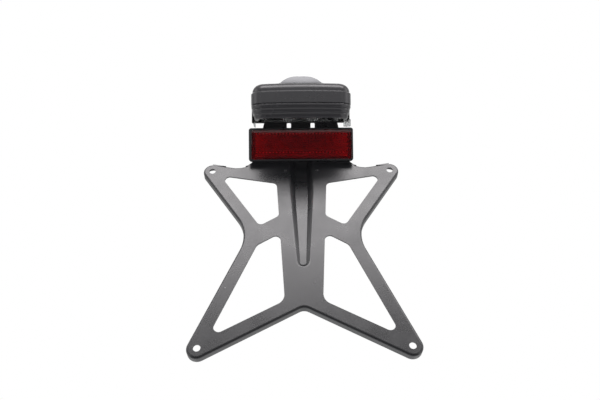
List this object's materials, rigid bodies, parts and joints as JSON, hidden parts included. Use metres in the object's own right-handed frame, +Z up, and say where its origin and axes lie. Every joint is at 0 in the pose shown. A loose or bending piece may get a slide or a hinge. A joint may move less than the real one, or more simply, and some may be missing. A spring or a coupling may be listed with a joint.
{
  "type": "tail tidy",
  "caption": "Pressed-steel number-plate carrier for a motorcycle tail, with a rear reflector and a number-plate lamp on its leaned neck.",
  "frame": {"origin": "middle of the four number-plate holes, on the carrier's face", "axes": "-Y out of the face, the way the number plate looks; +Z up the carrier towards the lamp; +X to the right as seen from in front of the plate"},
  "size_m": [0.187, 0.079, 0.2613],
  "materials": {
    "carrier_black": "semi-gloss black powder coat",
    "tray_black": "satin moulded",
    "reflector_red": "clear red, prismatic behind",
    "zinc": "zinc plated",
    "housing_black": "semi-gloss moulded",
    "base_black": "satin moulded",
    "rubber_black": "matt",
    "boot_grey": "matt",
    "lens_clear": "clear moulded",
    "bulb_glass": "clear",
    "brass": "plain",
    "mirror_white": "glossy white"
  },
  "bodies": {
    "root": {"plate_carrier": "carrier_black", "reflector_tray": "tray_black", "reflector_lens": "reflector_red", "reflector_studs": "zinc", "reflector_washers": "zinc", "reflector_nuts": "zinc", "lamp_base": "base_black", "base_seal": "rubber_black", "lamp_cover": "housing_black", "cover_screws": "zinc", "lens_gasket": "rubber_black", "lamp_lens": "lens_clear", "lens_screws": "zinc", "bulb_holder": "base_black", "bulb_contacts": "brass", "bulb": "bulb_glass", "lamp_mirror": "mirror_white", "holder_boot": "boot_grey", "lamp_grommets": "rubber_black", "lamp_collars": "zinc", "lamp_bolts": "zinc"}
  },
  "joints": []
}
